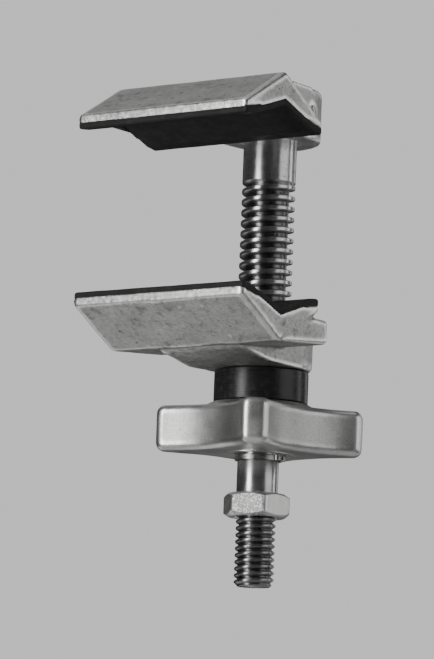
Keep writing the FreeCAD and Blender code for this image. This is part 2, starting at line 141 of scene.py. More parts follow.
KNOB_LOW, KNOB_HIGH = node_box("knob")[0].z, node_box("knob")[1].z
KNOB_FACE = KNOB_HIGH - 1.0
KNOB_RADIUS = 24.3
KNOB_TURN = math.radians(45 + 32.8)          # where one scoop faces
SCOOP_RADIUS = 27.0
SCOOP_MIDDLE = 41.6
GRIP_ROUND = 1.9
HUB_RADIUS = 8.0
COLLAR_WALL = 2.6
SLEEVE_BORE = 7.8

NUT_FLATS = 14.3
NUT_TURN = math.radians(19.1)
NUT_FACE = 6.65                                  # radius where its end faces start to slope
NUT_CORNER_EASE = 0.22
GALLED_AT = math.radians(-70.9)                  # where its galled flat faces

VOXEL = 0.32                                     # grain of the cast pieces' meshes
COLUMNS = 96                                     # facets round a turned piece


# --- mesh helpers ----------------------------------------------------------------------------

def new_object(name, verts, faces):
    mesh = bpy.data.meshes.new(name)
    mesh.from_pydata([Vector(vert) * MM for vert in verts], [], faces)
    made = bpy.data.objects.new(name, mesh)
    bpy.context.scene.collection.objects.link(made)
    clean(made)
    return made


def clean(obj):
    """Merge points that meet and turn every face outwards."""
    work = bmesh.new()
    work.from_mesh(obj.data)
    bmesh.ops.remove_doubles(work, verts=work.verts, dist=0.002 * MM)
    bmesh.ops.dissolve_degenerate(work, dist=0.002 * MM, edges=work.edges)
    bmesh.ops.recalc_face_normals(work, faces=work.faces)
    work.to_mesh(obj.data)
    work.free()


def settle(obj):
    """Make the object's modifiers part of its mesh."""
    bpy.context.view_layer.update()
    graph = bpy.context.evaluated_depsgraph_get()
    mesh = bpy.data.meshes.new_from_object(obj.evaluated_get(graph))
    obj.modifiers.clear()
    obj.data = mesh


def shade(obj, sharp=38):
    """Smooth shading, with a crease wherever two faces meet at more than that many degrees."""
    work = bmesh.new()
    work.from_mesh(obj.data)
    for face in work.faces:
        face.smooth = True
    for edge in work.edges:
        edge.smooth = edge.calc_face_angle(0) < math.radians(sharp)
    work.to_mesh(obj.data)
    work.free()


def rounded_outline(corners, step=0.25):
    """A closed outline through (a, b, radius) corners, each rounded by its own radius."""
    points = []
    for index, (a, b, radius) in enumerate(corners):
        corner = Vector((a, b))
        back = (Vector(corners[index - 1][:2]) - corner).normalized()
        ahead = (Vector(corners[(index + 1) % len(corners)][:2]) - corner).normalized()
        if radius == 0:
            points.append(corner)
            continue
        half = back.angle(ahead) / 2
        centre = corner + (back + ahead).normalized() * (radius / math.sin(half))
        spoke = corner + back * (radius / math.tan(half)) - centre
        last = corner + ahead * (radius / math.tan(half)) - centre
        sweep = math.atan2(spoke.x * last.y - spoke.y * last.x, spoke.dot(last))
        steps = max(3, math.ceil(abs(sweep) * radius / step))
        for number in range(steps + 1):
            turn = Matrix.Rotation(sweep * number / steps, 2)
            points.append(centre + turn @ spoke)
    return points


def outward(points):
    """The outline run anticlockwise, with the outward normal at each point."""
    count = len(points)
    area = sum(points[i - 1].x * points[i].y - points[i].x * points[i - 1].y for i in range(count))
    if area < 0:
        points = points[::-1]
    normals = []
    for index in range(count):
        along = (points[index] - points[index - 1]).normalized()
        along += (points[(index + 1) % count] - points[index]).normalized()
        normals.append(Vector((along.y, -along.x)).normalized())
    return points, normals


def rounded_prism(name, outline, low, high, radius, place, steps=5):
    """One outline carried from low to high, with the edges of both ends rounded."""
    outline, normals = outward(outline)
    count = len(outline)
    rings = []
    for number in range(steps + 1):
        angle = number / steps * TURN / 4
        rings.append((low + radius * (1 - math.cos(angle)), radius * (1 - math.sin(angle))))
    rings += [(low + high - height, inset) for height, inset in reversed(rings)]
    verts = []
    for height, inset in rings:
        verts += [place(*(point - normal * inset), height) for point, normal in zip(outline, normals)]
    faces = [list(range(count)), list(range(len(verts) - count, len(verts)))]
    for ring in range(len(rings) - 1):
        for index in range(count):
            after = (index + 1) % count
            start = ring * count
            faces.append([start + index, start + after, start + count + after, start + count + index])
    return new_object(name, verts, faces)


def along_x(a, b, height):
    return (height, a, b)


def along_z(a, b, height):
    return (a, b, height)


def lathe(name, outline, columns=COLUMNS):
    """A closed (radius, z) outline turned round the Z axis."""
    count = len(outline)
    verts = []
    for column in range(columns):
        angle = column / columns * TURN
        verts += [(radius * math.cos(angle), radius * math.sin(angle), z) for radius, z in outline]
    faces = []
    for column in range(columns):
        start = column * count
        other = (column + 1) % columns * count
        for index in range(count):
            after = (index + 1) % count
            faces.append([start + index, other + index, other + after, start + after])
    return new_object(name, verts, faces)


def rod_cutter(name, radius, low, high, turn):
    """A plain round cutter from low to high along Z, turned to another axis."""
    made = lathe(name, [Vector(p) for p in ((0, low), (radius, low), (radius, high), (0, high))])
    made.data.transform(turn)
    return made


def carve(obj, cutters):
    """Cut the cutters' shapes out of the object, and remove the cutters."""
    for cutter in cutters:
        cut = obj.modifiers.new("cut", "BOOLEAN")
        cut.operation = "DIFFERENCE"
        cut.solver = "EXACT"
        cut.object = cutter
    settle(obj)
    for cutter in cutters:
        bpy.data.objects.remove(cutter)


def cast(name, solids, passes=5, voxel=VOXEL):
    """One casting from several solids that run into each other, its corners softened."""
    work = bmesh.new()
    for solid in solids:
        work.from_mesh(solid.data)
        bpy.data.objects.remove(solid)
    mesh = bpy.data.meshes.new(name)
    work.to_mesh(mesh)
    work.free()
    made = bpy.data.objects.new(name, mesh)
    bpy.context.scene.collection.objects.link(made)
    skin = made.modifiers.new("skin", "REMESH")
    skin.mode = "VOXEL"
    skin.voxel_size = voxel * MM
    soften = made.modifiers.new("soften", "SMOOTH")
    soften.factor = 0.5
    soften.iterations = passes
    settle(made)
    return made


def roughen(obj, layers, where=None):
    """Move the surface in and out by noise; each layer is (size of lumps, height of lumps)."""
    mesh = obj.data
    normals = [vertex.normal.copy() for vertex in mesh.vertices]
    spots = []
    for vertex, normal in zip(mesh.vertices, normals):
        spot = vertex.co / MM
        share = where(spot, normal) if where else 1.0
        rise = sum(height * noise.noise(spot / lump) for lump, height in layers)
        spots.extend((spot + normal * (rise * share)) * MM)
    mesh.vertices.foreach_set("co", spots)
    mesh.update()


def mark_edges(obj, full=0.05, passes=6, start=0.012):
    """Store how far each point stands out from its surroundings, as a point attribute that the
    materials use for worn edges and a painted highlight.
    """
    mesh = obj.data
    count = len(mesh.vertices)
    spots = np.empty(count * 3)
    normals = np.empty(count * 3)
    ends = np.empty(len(mesh.edges) * 2, dtype=int)
    mesh.vertices.foreach_get("co", spots)
    mesh.vertices.foreach_get("normal", normals)
    mesh.edges.foreach_get("vertices", ends)
    spots = spots.reshape(-1, 3) / MM
    normals = normals.reshape(-1, 3)
    ends = ends.reshape(-1, 2)
    links = np.maximum(np.bincount(ends.ravel(), minlength=count), 1)

    def surroundings(values):
        total = np.zeros_like(values)
        np.add.at(total, ends[:, 0], values[ends[:, 1]])
        np.add.at(total, ends[:, 1], values[ends[:, 0]])
        return total / (links[:, None] if values.ndim > 1 else links)

    smooth = spots
    for _ in range(passes):
        smooth = surroundings(smooth)
    bulge = ((spots - smooth) * normals).sum(axis=1)
    for _ in range(2):
        bulge = surroundings(bulge)
    wear = np.clip((bulge - start) / (full - start), 0, 1)
    layer = mesh.attributes.new("edge_wear_and_highlight", "FLOAT", "POINT")
    layer.data.foreach_set("value", wear.astype(np.float32))


# --- materials -------------------------------------------------------------------------------

def grey(value):
    return (value, value, value, 1.0)


class Graph:
    """A material's nodes. Textures take their place from the piece's own coordinates, in mm."""

    def __init__(self, name, metallic, specular=0.5):
        self.material = bpy.data.materials.new(name)
        self.material.use_nodes = True
        self.tree = self.material.node_tree
        self.shader = self.tree.nodes["Principled BSDF"]
        self.shader.inputs["Metallic"].default_value = metallic
        self.shader.inputs["Specular IOR Level"].default_value = specular
        self.spot = self.node("ShaderNodeTexCoord").outputs["Object"]

    def node(self, kind, inputs=None, **settings):
        made = self.tree.nodes.new(kind)
        for key, value in settings.items():
            setattr(made, key, value)
        for key, value in (inputs or {}).items():
            self.feed(made.inputs[key], value)
        return made

    def feed(self, socket, value):
        if isinstance(value, bpy.types.NodeSocket):
            self.tree.links.new(value, socket)
        else:
            socket.default_value = value

    def mapped(self, lump, stretch, turn):
        scale = [1 / (lump * MM * share) for share in stretch]
        return self.node("ShaderNodeMapping", {
            "Vector": self.spot,
            "Scale": scale,
            "Rotation": [math.radians(angle) for angle in turn],
        }).outputs["Vector"]

    def noise(self, lump, detail=3.0, stretch=(1, 1, 1), turn=(0, 0, 0)):
        return self.node("ShaderNodeTexNoise", {
            "Vector": self.mapped(lump, stretch, turn),
            "Scale": 1.0,
            "Detail": detail,
        }).outputs["Fac"]

    def cells(self, lump):
        return self.node("ShaderNodeTexVoronoi", {
            "Vector": self.mapped(lump, (1, 1, 1), (0, 0, 0)),
            "Scale": 1.0,
        }).outputs["Distance"]

    def spread(self, value, low, high, to_low=0.0, to_high=1.0):
        """The value carried from low..high to to_low..to_high, and held there outside."""
        return self.node("ShaderNodeMapRange", {
            "Value": value,
            "From Min": low,
            "From Max": high,
            "To Min": to_low,
            "To Max": to_high,
        }).outputs["Result"]

    def math(self, operation, a, b=0.0):
        return self.node("ShaderNodeMath", {0: a, 1: b}, operation=operation).outputs[0]

    def total(self, *values):
        result = values[0]
        for value in values[1:]:
            result = self.math("ADD", result, value)
        return result

    def share(self, a, b):
        return self.math("MULTIPLY", a, b)

    def colours(self, factor, low, high):
        mixed = self.node("ShaderNodeMix", {0: factor, 6: low, 7: high}, data_type="RGBA")
        return mixed.outputs[2]

    def scratches(self, lump, reach, turn, width=0.012):
        """Fine lines drawn out along one direction, in patches."""
        streak = self.noise(lump, detail=1.5, stretch=(reach, 1, 1), turn=turn)
        off_middle = self.math("ABSOLUTE", self.math("SUBTRACT", streak, 0.5))
        line = self.spread(off_middle, width, 0.0)
        patch = self.spread(self.noise(lump * 5, turn=turn), 0.52, 0.6)
        return self.share(line, patch)

    # How far a point stands out; the materials paint such edges brighter, partly as wear and partly
    # as a painted highlight.
    def wear_and_highlight(self):
        return self.node("ShaderNodeAttribute", attribute_name="edge_wear_and_highlight").outputs["Fac"]

    def turned(self, amount):
        """Reflections drawn out along Z, as very fine rings round Z draw them."""
        tangent = self.node("ShaderNodeTangent", direction_type="RADIAL", axis="Z")
        self.feed(self.shader.inputs["Tangent"], tangent.outputs["Tangent"])
        self.shader.inputs["Anisotropic"].default_value = amount
        self.shader.inputs["Anisotropic Rotation"].default_value = 0.25

    def finish(self, colour, roughness, height):
        """height is in mm."""
        self.feed(self.shader.inputs["Base Color"], colour)
        self.feed(self.shader.inputs["Roughness"], roughness)
        bump = self.node("ShaderNodeBump", {"Height": height, "Strength": 1.0, "Distance": MM})
        self.feed(self.shader.inputs["Normal"], bump.outputs["Normal"])
        return self.material


def cast_aluminium():
    """Sand-cast and tumbled: fine mottled grey, with pits and dark stains, and edges painted
    brighter, partly as wear and partly as a painted highlight.
    """
    graph = Graph("cast_aluminium", metallic=1.0)
    clouds = graph.noise(7.0, detail=4)
    mottle = graph.noise(0.9, detail=6)
    grain = graph.noise(0.24, detail=3)
    dot = graph.spread(graph.cells(1.2), 0.22, 0.08)
    pits = graph.share(dot, graph.spread(graph.noise(2.2), 0.53, 0.60))
    stains = graph.spread(graph.noise(2.6, detail=6), 0.57, 0.66)
    nicks = graph.scratches(0.5, 7, (0, 20, 35), width=0.006)
    wear_and_highlight = graph.wear_and_highlight()
    tone = graph.total(
        graph.spread(clouds, 0.35, 0.65, 0.35, 0.45),
        graph.spread(mottle, 0.3, 0.7, -0.09, 0.09),
        graph.spread(grain, 0.3, 0.7, -0.06, 0.06),
        # brighter edges: partly wear, partly a painted highlight
        graph.share(wear_and_highlight, 0.42),
        graph.share(pits, -0.30),
        graph.share(stains, -0.12),
        graph.share(nicks, 0.12),
    )
    colour = graph.colours(tone, (0.0, 0.0, 0.0, 1), (1.0, 0.995, 0.98, 1))
    roughness = graph.total(
        graph.spread(mottle, 0.3, 0.7, 0.40, 0.52),
        graph.share(stains, 0.08),
        graph.share(wear_and_highlight, -0.12),
    )
    height = graph.total(
        graph.share(mottle, 0.035),
        graph.share(grain, 0.018),
        graph.share(pits, -0.06),
    )
    return graph.finish(colour, roughness, height)


def knob_aluminium():
    """Bead-blasted: a fine even grain and soft clouds, and edges painted brighter, partly as polish
    by hands and partly as a painted highlight.
    """
    graph = Graph("knob_aluminium", metallic=1.0)
    clouds = graph.noise(7.0, detail=4)
    grain = graph.noise(0.28, detail=4)
    specks = graph.spread(graph.noise(0.6, detail=6), 0.62, 0.72)
    lines = graph.scratches(0.45, 10, (0, 0, 50), width=0.006)
    wear_and_highlight = graph.wear_and_highlight()
    tone = graph.total(
        graph.spread(clouds, 0.3, 0.7, 0.39, 0.49),
        graph.spread(grain, 0.3, 0.7, -0.09, 0.09),
        # brighter edges: partly polish, partly a painted highlight
        graph.share(wear_and_highlight, 0.26),
        graph.share(specks, -0.14),
        graph.share(lines, 0.08),
    )
    colour = graph.colours(tone, (0.0, 0.0, 0.0, 1), (1.0, 0.995, 0.985, 1))
    roughness = graph.total(
        graph.spread(clouds, 0.3, 0.7, 0.40, 0.50),
        graph.share(wear_and_highlight, -0.10),
    )
    height = graph.total(
        graph.share(grain, 0.022),
        graph.share(graph.noise(2.2, detail=2), 0.03),
        graph.share(specks, -0.02),
    )
    return graph.finish(colour, roughness, height)


def turned_steel():
    """Bright steel with rings left by the lathe, and oil film in patches; the groove attribute
    darkens it, painting shade into the thread roots and making the stud darker all over.
    """
    graph = Graph("turned_steel", metallic=1.0)
    rings = graph.noise(0.12, detail=2, stretch=(120, 120, 1))
    film = graph.noise(2.4, detail=4)
    dirt = graph.spread(graph.noise(0.8, detail=6), 0.58, 0.72)
    deep = graph.node("ShaderNodeAttribute", attribute_name="groove").outputs["Fac"]
    tone = graph.total(
        graph.spread(film, 0.3, 0.7, 0.52, 0.62),
        graph.spread(rings, 0.3, 0.7, -0.05, 0.05),
        # painted shade in the thread roots, and the stud darker all over
        graph.share(deep, -0.42),
        graph.share(dirt, -0.16),
    )
    colour = graph.colours(tone, (0.0, 0.0, 0.0, 1), (1.0, 1.0, 1.0, 1))
    roughness = graph.total(
        graph.spread(film, 0.3, 0.7, 0.30, 0.38),
        graph.share(dirt, 0.14),
        graph.share(deep, 0.06),
    )
    height = graph.total(graph.share(rings, 0.006), graph.share(graph.noise(0.5), 0.006))
    graph.turned(0.85)
    return graph.finish(colour, roughness, height)


def plated_steel():
    """Dull zinc plate over a rolled surface, galled on the flat that a spanner slipped on."""
    graph = Graph("plated_steel", metallic=1.0)
    clouds = graph.noise(2.0, detail=5)
    grain = graph.noise(0.2, detail=3)
    galled = graph.node("ShaderNodeAttribute", attribute_name="galled").outputs["Fac"]
    chips = graph.share(graph.spread(graph.noise(0.42, detail=4), 0.42, 0.62), galled)
    tone = graph.total(
        graph.spread(clouds, 0.3, 0.7, 0.60, 0.72),
        graph.share(chips, -0.26),
        graph.share(graph.wear_and_highlight(), 0.1),
    )
    colour = graph.colours(tone, (0.0, 0.0, 0.0, 1), (1.0, 0.995, 0.985, 1))
    roughness = graph.total(graph.spread(clouds, 0.3, 0.7, 0.34, 0.42), graph.share(galled, 0.04))
    height = graph.total(
        graph.share(grain, 0.010),
        graph.share(chips, 0.075),
        graph.share(graph.scratches(0.5, 10, (0, 90, 0)), -0.006),
    )
    return graph.finish(colour, roughness, height)


def spring_steel():
    graph = Graph("spring_steel", metallic=1.0)
    clouds = graph.noise(1.2, detail=5)
    tone = graph.spread(clouds, 0.3, 0.7, 0.30, 0.44)
    colour = graph.colours(tone, (0.0, 0.0, 0.0, 1), (1.0, 0.99, 0.97, 1))
    roughness = graph.spread(clouds, 0.3, 0.7, 0.24, 0.38)
    return graph.finish(colour, roughness, graph.share(graph.noise(0.2, detail=3), 0.01))


def bronze():
    graph = Graph("bronze", metallic=1.0)
    rings = graph.noise(0.12, detail=2, stretch=(120, 120, 1))
    clouds = graph.noise(2.0, detail=4)
    colour = graph.colours(clouds, (0.52, 0.36, 0.18, 1), (0.72, 0.53, 0.30, 1))
    roughness = graph.spread(clouds, 0.3, 0.7, 0.25, 0.36)
    return graph.finish(colour, roughness, graph.share(rings, 0.006))


def black_plastic():
    """Turned black plastic: fine rings, a soft gloss and a little dust."""
    graph = Graph("black_plastic", metallic=0.0, specular=0.35)
    rings = graph.noise(0.2, detail=2, stretch=(90, 90, 1))
    dust = graph.spread(graph.noise(1.4, detail=6), 0.5, 0.8)
    tone = graph.total(graph.share(dust, 0.020), graph.share(graph.wear_and_highlight(), 0.03), 0.014)
    colour = graph.colours(tone, (0.0, 0.0, 0.0, 1), (1.0, 1.0, 1.02, 1))
    roughness = graph.total(graph.spread(rings, 0.3, 0.7, 0.24, 0.34), graph.share(dust, 0.12))
    height = graph.total(graph.share(rings, 0.006), graph.share(graph.noise(0.3), 0.004))
    return graph.finish(colour, roughness, height)


def black_rubber():
    """Moulded rubber: matte, faintly wavy, a little grey where it is rubbed."""
    graph = Graph("black_rubber", metallic=0.0, specular=0.2)
    waves = graph.noise(3.5, detail=3)
    grain = graph.noise(0.14, detail=3)
    rubbed = graph.spread(graph.noise(1.8, detail=6), 0.5, 0.75)
    tone = graph.total(graph.share(rubbed, 0.010), graph.share(graph.wear_and_highlight(), 0.012), 0.006)
    colour = graph.colours(tone, (0.0, 0.0, 0.0, 1), (1.0, 1.0, 1.02, 1))
    roughness = graph.spread(waves, 0.3, 0.7, 0.50, 0.62)
    height = graph.total(graph.share(grain, 0.012), graph.share(waves, 0.06))
    return graph.finish(colour, roughness, height)


MATERIALS = {
    "cast_aluminium": cast_aluminium(),
    "knob_aluminium": knob_aluminium(),
    "turned_steel": turned_steel(),
    "plated_steel": plated_steel(),
    "spring_steel": spring_steel(),
    "bronze": bronze(),
    "black_plastic": black_plastic(),
    "black_rubber": black_rubber(),
}


def dress(obj, body, node, slot):
    """Let the piece stand for a CAD node, on that node's body, in that slot's material."""
    obj.data.materials.clear()
    obj.data.materials.append(MATERIALS[slot])
    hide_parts(node)
    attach(obj, body)


# --- jaws ------------------------------------------------------------------------------------

def vee_outline(jaw):
    """The vee's section as (y, z) points."""
    middle, half = jaw.middle, jaw.half_span
    return rounded_outline([
        jaw.corner(middle, -jaw.metal, RIDGE_ROUND),
        jaw.corner(middle - half, OUTER_RISE, TIP_ROUND),
        jaw.corner(middle - half, INNER_RISE, LIP_ROUND),
        jaw.corner(middle - SLOPE_HALF, SLOPE_RISE, 0),
        jaw.corner(middle, 0, 0),
        jaw.corner(middle + SLOPE_HALF, SLOPE_RISE, 0),
        jaw.corner(middle + half, INNER_RISE, LIP_ROUND),
        jaw.corner(middle + half, OUTER_RISE, TIP_ROUND),
    ])


def web_outline(jaw):
    """The block's side view, from the screw's axis forward to the vee's ridge."""
    return rounded_outline([
        jaw.corner(0, -jaw.back, 0),
        jaw.corner(WEB_STEP, -jaw.back, WEB_ROUND),
        jaw.corner(WEB_STEP - WEB_RUN, WEB_RISE - jaw.back, WEB_ROUND),
        jaw.corner(jaw.middle, -jaw.metal * 0.7, 0.5),
        jaw.corner(jaw.middle + SLOPE_HALF, BLOCK_FRONT, 0),
        jaw.corner(0, BLOCK_FRONT, 0),
    ])


def heel_outline(jaw):
    """The lower jaw's heel, which fills the wedge behind its ridge."""
    return rounded_outline([
        jaw.corner(jaw.middle + HEEL_INSET, 0.25 - jaw.metal, 0),
        jaw.corner(HEEL_BACK, HEEL_LOW, HEEL_ROUND),
        jaw.corner(HEEL_BACK, HEEL_HIGH, HEEL_ROUND),
        jaw.corner(HEEL_BACK - HEEL_RUN, HEEL_HIGH, 0),
        jaw.corner(jaw.middle + HEEL_RUN, 0, 0),
    ])


def cast_jaw(jaw, heel):
    ends = (jaw.low_end, jaw.high_end)
    back = jaw.apex - jaw.side * jaw.back
    front = jaw.apex + jaw.side * BLOCK_FRONT
    solids = [
        rounded_prism("vee", vee_outline(jaw), *ends, END_ROUND, along_x),
        rounded_prism("web", web_outline(jaw), -jaw.block_half, jaw.block_half, WEB_END_ROUND,
                      along_x),
        lathe("boss", rounded_outline([
            (0, back, 0),
            (jaw.block_half, back, BOSS_BACK_ROUND),
            (jaw.block_half, front, BOSS_FRONT_ROUND),
            (0, front, 0),
        ])),
    ]
    if heel:
        solids.append(rounded_prism("heel", heel_outline(jaw), *ends, END_ROUND, along_x))
    casting = cast(f"{jaw.name}_casting", solids)

    def underside(spot, normal):
        """Rougher where the block faces away from the vee's mouth."""
        return 1.0 + jaw.lumps * max(0.0, -jaw.side * normal.z) * (abs(spot.x) < jaw.block_half + 1)

    roughen(casting, [(9.0, 0.07), (2.2, 0.03), (0.8, 0.016)], underside)
    return casting


def pin_cutter():
    pin_low, pin_high = node_box("jaw_cross_pin")
    height = (pin_low.z + pin_high.z) / 2
    radius = (pin_high.z - pin_low.z) / 2 + FIT
    turn = Matrix.Translation((0, 0, height * MM)) @ Matrix.Rotation(TURN / 4, 4, "Y")
    reach = UPPER.block_half + OVERRUN
    return rod_cutter("pin_hole", radius, -reach, reach, turn)


def make_upper_jaw():
    casting = cast_jaw(UPPER, heel=False)
    low = UPPER.apex - BLOCK_FRONT - OVERRUN
    top = UPPER.apex + UPPER.back
    wall = SCREW_RADIUS + FIT
    bore = lathe("bore", rounded_outline([
        (0, low, 0),
        (wall, low, 0),
        (wall, top - 0.35, 0),
        (SCREW_RADIUS + 1.6, top + 1.2, 0),
        (0, top + 1.2, 0),
    ]))
    carve(casting, [bore, pin_cutter()])
    mark_edges(casting)
    shade(casting)
    dress(casting, "screw_frame", "upper_jaw", "cast_aluminium")


def make_lower_jaw():
    casting = cast_jaw(LOWER, heel=True)
    low = LOWER.apex - LOWER.back
    high = LOWER.apex + BLOCK_FRONT
    ring_low, ring_high = node_box("retaining_ring")
    pocket = node_box("thrust_washer")[1]
    wall = pocket.x + 0.15
    groove = ring_high.x + 0.1
    bore = SCREW_RADIUS + 0.06
    section = [
        (0, low - OVERRUN),
        (wall, low - OVERRUN),
        (wall, ring_low.z - 0.1),
        (groove, ring_low.z - 0.1),
        (groove, ring_high.z + 0.1),
        (wall, ring_high.z + 0.1),
        (wall, pocket.z),
        (bore, pocket.z),
        (bore, high - 0.3),
        (bore + 1.5, high + 1.2),
        (0, high + 1.2),
    ]
    guide_low, guide_high = node_box("guide_screw")
    height = (guide_low.z + guide_high.z) / 2
    radius = (guide_high.x - guide_low.x) / 2 + FIT
    turn = Matrix.Translation((0, 0, height * MM)) @ Matrix.Rotation(-TURN / 4, 4, "X")
    carve(casting, [
        lathe("bore", [Vector(point) for point in section]),
        rod_cutter("guide_hole", radius, SCREW_RADIUS - 1, LOWER.block_half + OVERRUN, turn),
    ])
    mark_edges(casting)
    shade(casting)
    dress(casting, "lower_jaw", "lower_jaw", "cast_aluminium")


def make_liner(jaw, body):
    """The rubber facing of one vee. It sinks a little way into the casting, so no gap shows."""
    node = f"{jaw.name}_liner"
    half = jaw.middle - node_box(node)[0].y - SKIN / 3

    def corner(out, rise, radius):
        return jaw.corner(jaw.middle + out, rise, radius)

    outline = rounded_outline([
        corner(-half, INNER_RISE - LINER_SUNK, 0.3),
        corner(-SLOPE_HALF, SLOPE_RISE - LINER_SUNK, 1.2),
        corner(0, -LINER_SUNK, 1.2),
        corner(SLOPE_HALF, SLOPE_RISE - LINER_SUNK, 1.2),
        corner(half, INNER_RISE - LINER_SUNK, 0.3),
        corner(half, INNER_RISE + LINER_METAL - SKIN, 0.6),
        corner(SLOPE_HALF, SLOPE_RISE + LINER_METAL, 2.0),
        corner(0, LINER_METAL, 0.7),
        corner(-SLOPE_HALF, SLOPE_RISE + LINER_METAL, 2.0),
        corner(-half, INNER_RISE + LINER_METAL - SKIN, 0.6),
    ])
    inset = LINER_MARGIN - SKIN / 2
    blank = rounded_prism(node, outline, jaw.low_end + inset, jaw.high_end - inset, 0.45, along_x)
    liner = cast(f"{node}_rubber", [blank], passes=2, voxel=0.26)
    roughen(liner, [(7.0, 0.06), (2.0, 0.02)])
    mark_edges(liner, full=0.06)
    shade(liner, sharp=60)
    dress(liner, body, node, "black_rubber")


# --- screw -----------------------------------------------------------------------------------

def thread_profile(pitch, depth, root_flat, flank, crest_round, root_round):
    """One pitch of thread as (height, depth below the crest) pairs, starting mid-crest."""
    run = depth * math.tan(flank)
    groove = root_flat + 2 * run
    edges = [
        (-pitch, 0, 0),
        (-groove / 2, 0, crest_round),
        (-root_flat / 2, depth, root_round),
        (root_flat / 2, depth, root_round),
        (groove / 2, 0, crest_round),
        (pitch, 0, 0),
        (0, -pitch, 0),
    ]
    points = rounded_outline(edges, step=0.10)
    half = pitch / 2
    inside = [point for point in points if -half < point.x < half and point.y > -0.001]
    return [(-half, 0.0)] + [(point.x, point.y) for point in inside]


def thread_rows(profile, pitch, low, high, radius, limit, fade_low, fade_high):
    """Rows that climb one pitch a turn between low and high.

    Returns where a row's point is at a share of a turn, the number of rows, and the rows in one
    turn. limit is the largest radius at a height, and the thread fades out over fade_low and
    fade_high at its ends.
    """
    turns = math.ceil((high - low) / pitch) + 2
    rows = []
    for number in range(-1, turns):
        for height, depth in profile:
            start = low + number * pitch + height + pitch / 2
            rows.append((start, depth))
    per_turn = len(profile)

    def spot(row, turn):
        start, depth = rows[row]
        z = min(max(start + pitch * turn, low), high)
        ease = min(1.0, (z - low) / fade_low, (high - z) / fade_high)
        ease = max(0.0, ease) ** 0.7
        return min(radius - depth * ease, limit(z)), z, depth * ease

    return spot, len(rows), per_turn


